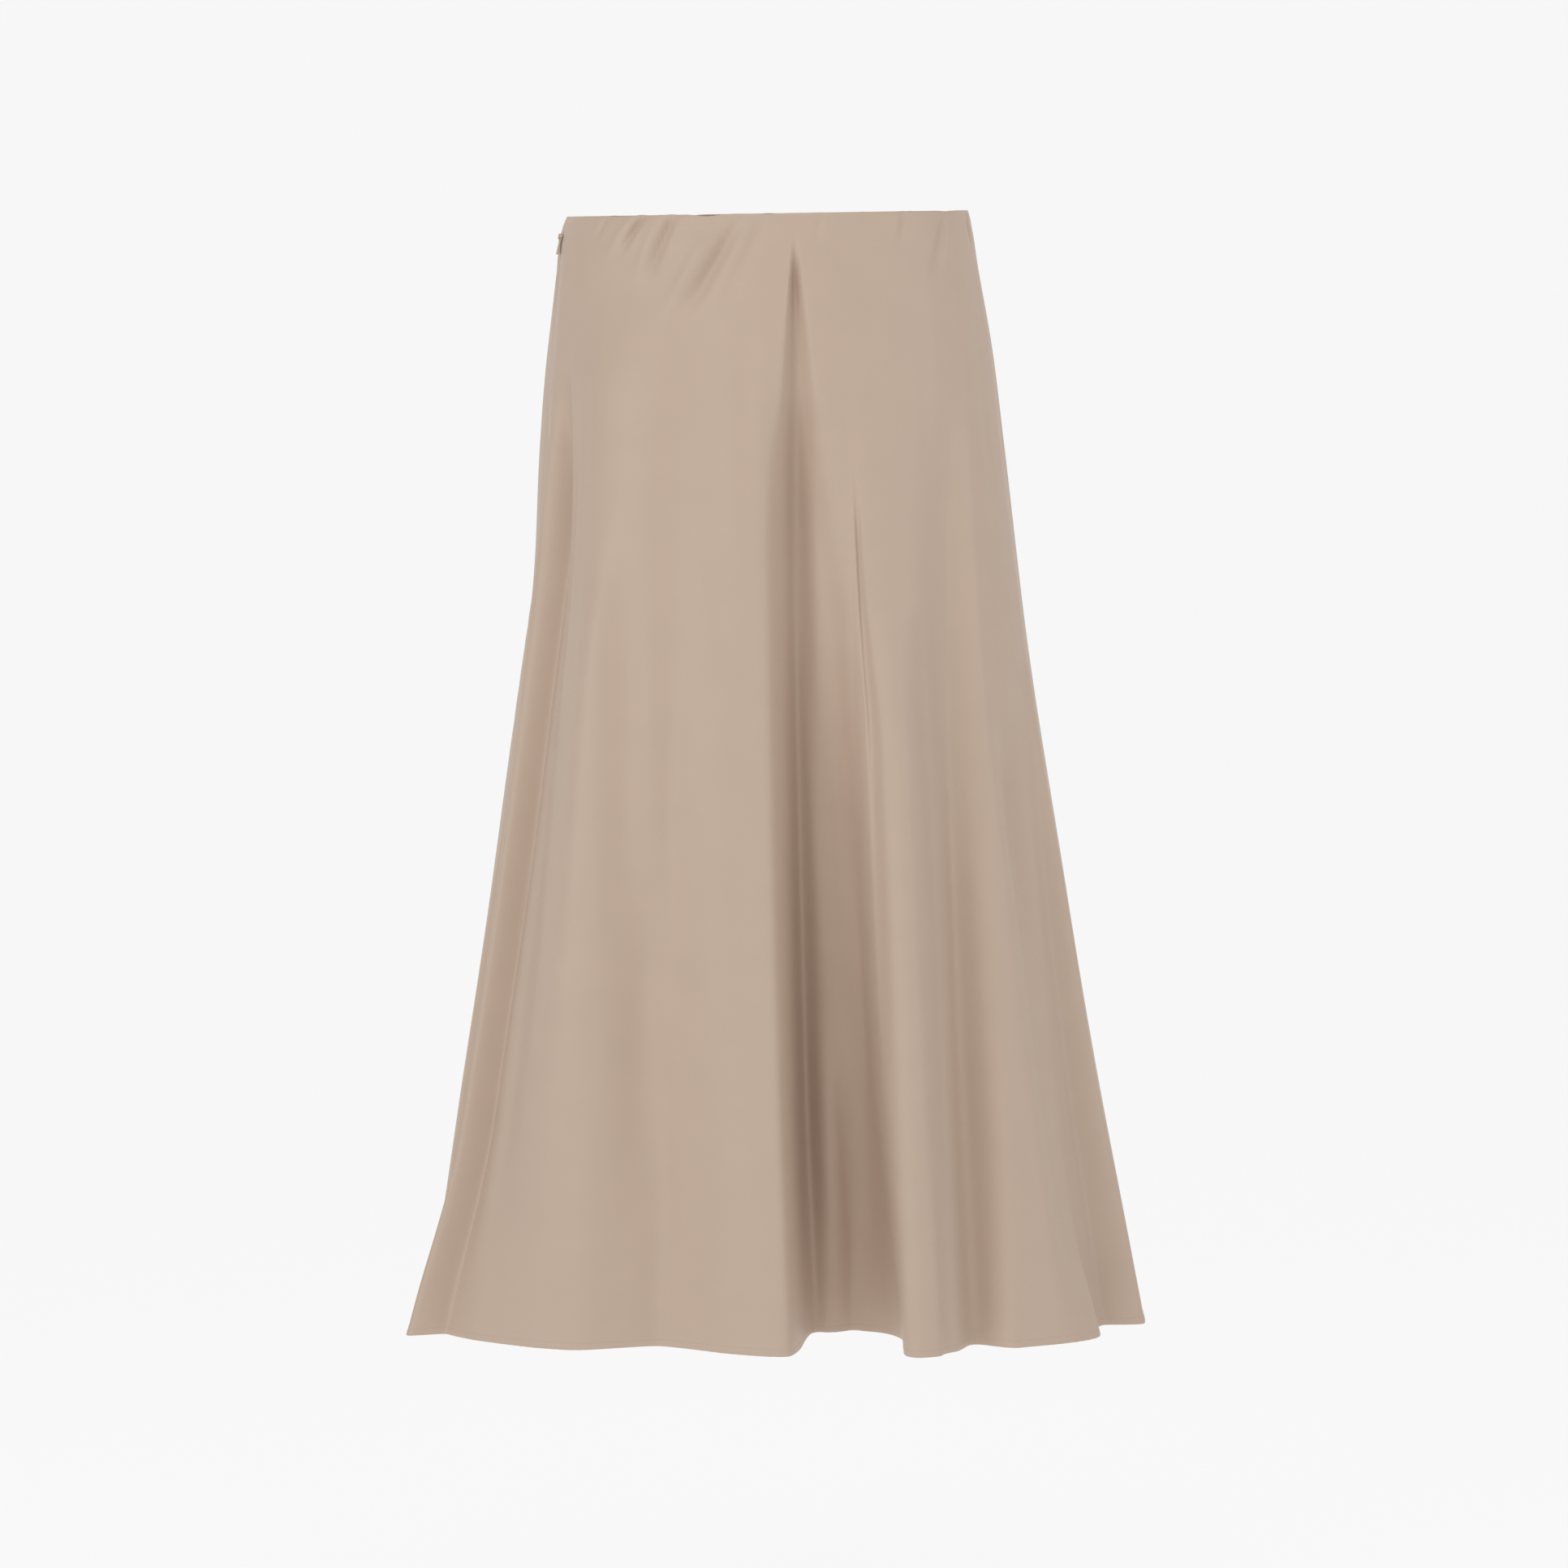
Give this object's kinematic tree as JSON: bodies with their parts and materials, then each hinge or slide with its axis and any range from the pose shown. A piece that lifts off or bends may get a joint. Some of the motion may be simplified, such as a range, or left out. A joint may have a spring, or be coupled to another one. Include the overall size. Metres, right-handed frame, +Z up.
{
  "type": "a-line midi skirt",
  "caption": "Plain satin a-line midi skirt in its worn, filled-out shape: hollow, open at waist and hem, falling in soft flutes, with a concealed side zip.",
  "frame": {"origin": "centre of the waist ring, level with the waist edge, where the wearer's waist holds the skirt", "axes": "+Z up along the body, -Y to the front, +X to the side that is on the right in the picture"},
  "size_m": [0.5092, 0.3648, 0.7825],
  "materials": {
    "satin": "champagne-beige satin with a soft, low sheen",
    "zip_tape": "matt woven zip tape with a coil, dyed to match",
    "zip_metal": "beige enamel, dyed to match"
  },
  "bodies": {
    "skirt": {"front_panel": "satin", "back_panel": "satin", "zip_tape": "zip_tape", "zip_slider": "zip_metal"},
    "pull": {"zip_pull": "zip_metal"}
  },
  "joints": [
    {"name": "pull_swing", "type": "hinge", "parent": "skirt", "child": "pull", "pos_m": [-0.14413, -0.0157, -0.0165], "axis": [-0.2539, 0.9672, 0], "range_deg": [0, 150]}
  ]
}
